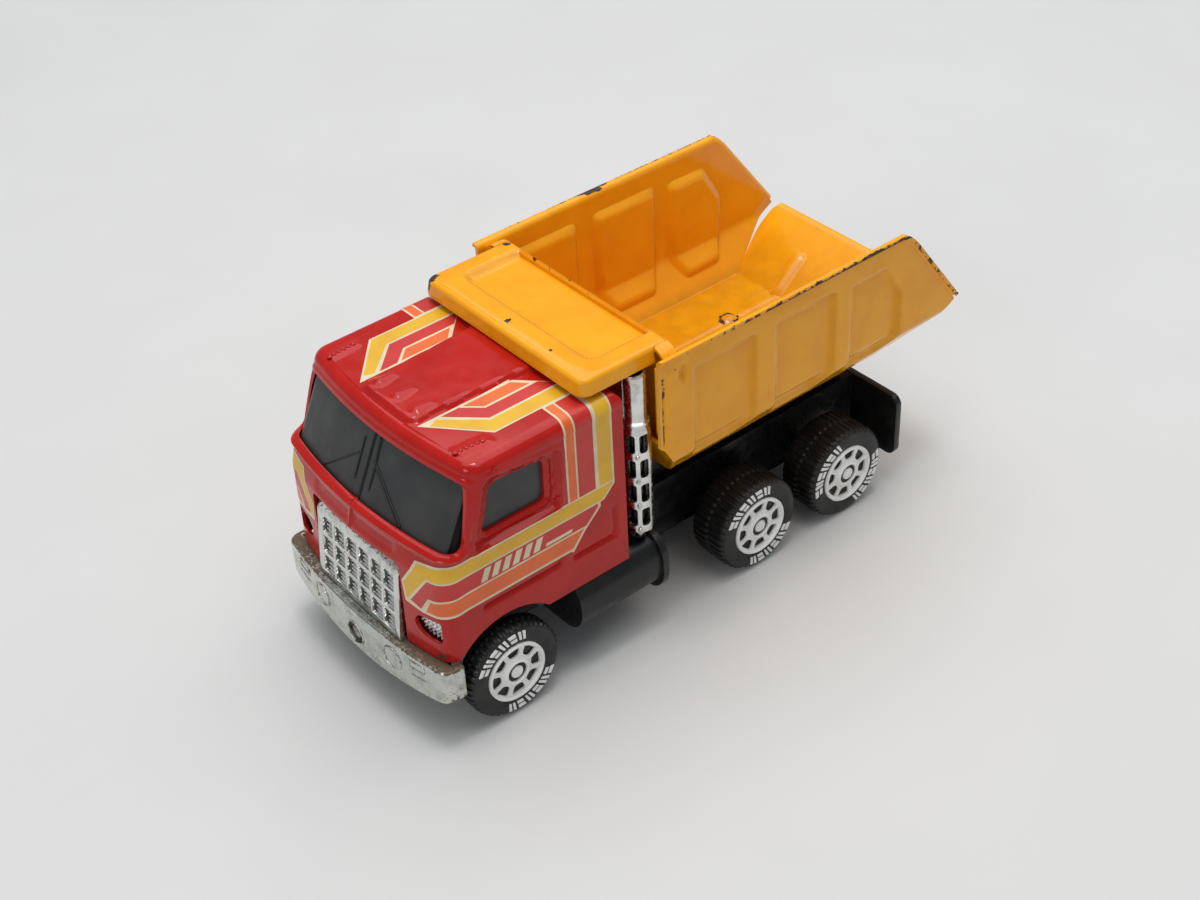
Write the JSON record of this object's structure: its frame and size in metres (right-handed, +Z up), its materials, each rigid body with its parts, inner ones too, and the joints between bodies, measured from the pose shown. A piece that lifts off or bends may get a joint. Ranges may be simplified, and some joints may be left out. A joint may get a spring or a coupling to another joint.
{
  "type": "toy dump truck",
  "caption": "Pressed-steel toy dump truck with a cab-over front, tandem rear wheels, free-rolling axles and a rear-hinged tipping rock body with a guard over the cab.",
  "frame": {"origin": "on the ground under the middle of the truck's length and width", "axes": "+Z up, the truck drives towards -Y, and its left side faces +X"},
  "size_m": [0.0612, 0.1456, 0.0695],
  "materials": {
    "red_enamel": "gloss",
    "orange_enamel": "gloss",
    "worn_chrome": "worn",
    "black_plastic": "satin",
    "dark_glazing": "satin",
    "tyre_plastic": "matt",
    "white_hub_plastic": "satin",
    "plated_steel": "plated"
  },
  "bodies": {
    "truck": {"chassis": "black_plastic", "base_plate": "black_plastic", "base_screw_front": "plated_steel", "base_screw_rear": "plated_steel", "cab_shell": "red_enamel", "cab_glazing": "dark_glazing", "grille": "worn_chrome", "front_bumper": "worn_chrome", "bumper_rivet": "plated_steel", "headlamp_left": "worn_chrome", "headlamp_right": "worn_chrome", "fuel_tank_left": "black_plastic", "fuel_tank_right": "black_plastic", "exhaust_stack_left": "worn_chrome", "exhaust_stack_right": "worn_chrome"},
    "tipping_body": {"bed_tub": "orange_enamel", "bed_guard": "orange_enamel", "bed_bracket": "black_plastic", "bed_rivet_front": "plated_steel", "bed_rivet_rear": "plated_steel", "bed_hinge_pin": "plated_steel"},
    "front_wheels": {"front_axle": "plated_steel", "front_tyre_left": "tyre_plastic", "front_hub_left": "white_hub_plastic", "front_tyre_right": "tyre_plastic", "front_hub_right": "white_hub_plastic"},
    "mid_wheels": {"mid_axle": "plated_steel", "mid_tyre_left": "tyre_plastic", "mid_hub_left": "white_hub_plastic", "mid_tyre_right": "tyre_plastic", "mid_hub_right": "white_hub_plastic"},
    "rear_wheels": {"rear_axle": "plated_steel", "rear_tyre_left": "tyre_plastic", "rear_hub_left": "white_hub_plastic", "rear_tyre_right": "tyre_plastic", "rear_hub_right": "white_hub_plastic"}
  },
  "joints": [
    {"name": "tipping_hinge", "type": "hinge", "parent": "truck", "child": "tipping_body", "pos_m": [0, 0.05, 0.0282], "axis": [-1, 0, 0], "range_deg": [0, 45]},
    {"name": "front_axle_spin", "type": "hinge", "parent": "truck", "child": "front_wheels", "pos_m": [0, -0.05345, 0.0112], "axis": [1, 0, 0], "continuous": true},
    {"name": "mid_axle_spin", "type": "hinge", "parent": "truck", "child": "mid_wheels", "pos_m": [0, 0.01375, 0.0112], "axis": [1, 0, 0], "continuous": true},
    {"name": "rear_axle_spin", "type": "hinge", "parent": "truck", "child": "rear_wheels", "pos_m": [0, 0.04085, 0.0112], "axis": [1, 0, 0], "continuous": true}
  ]
}
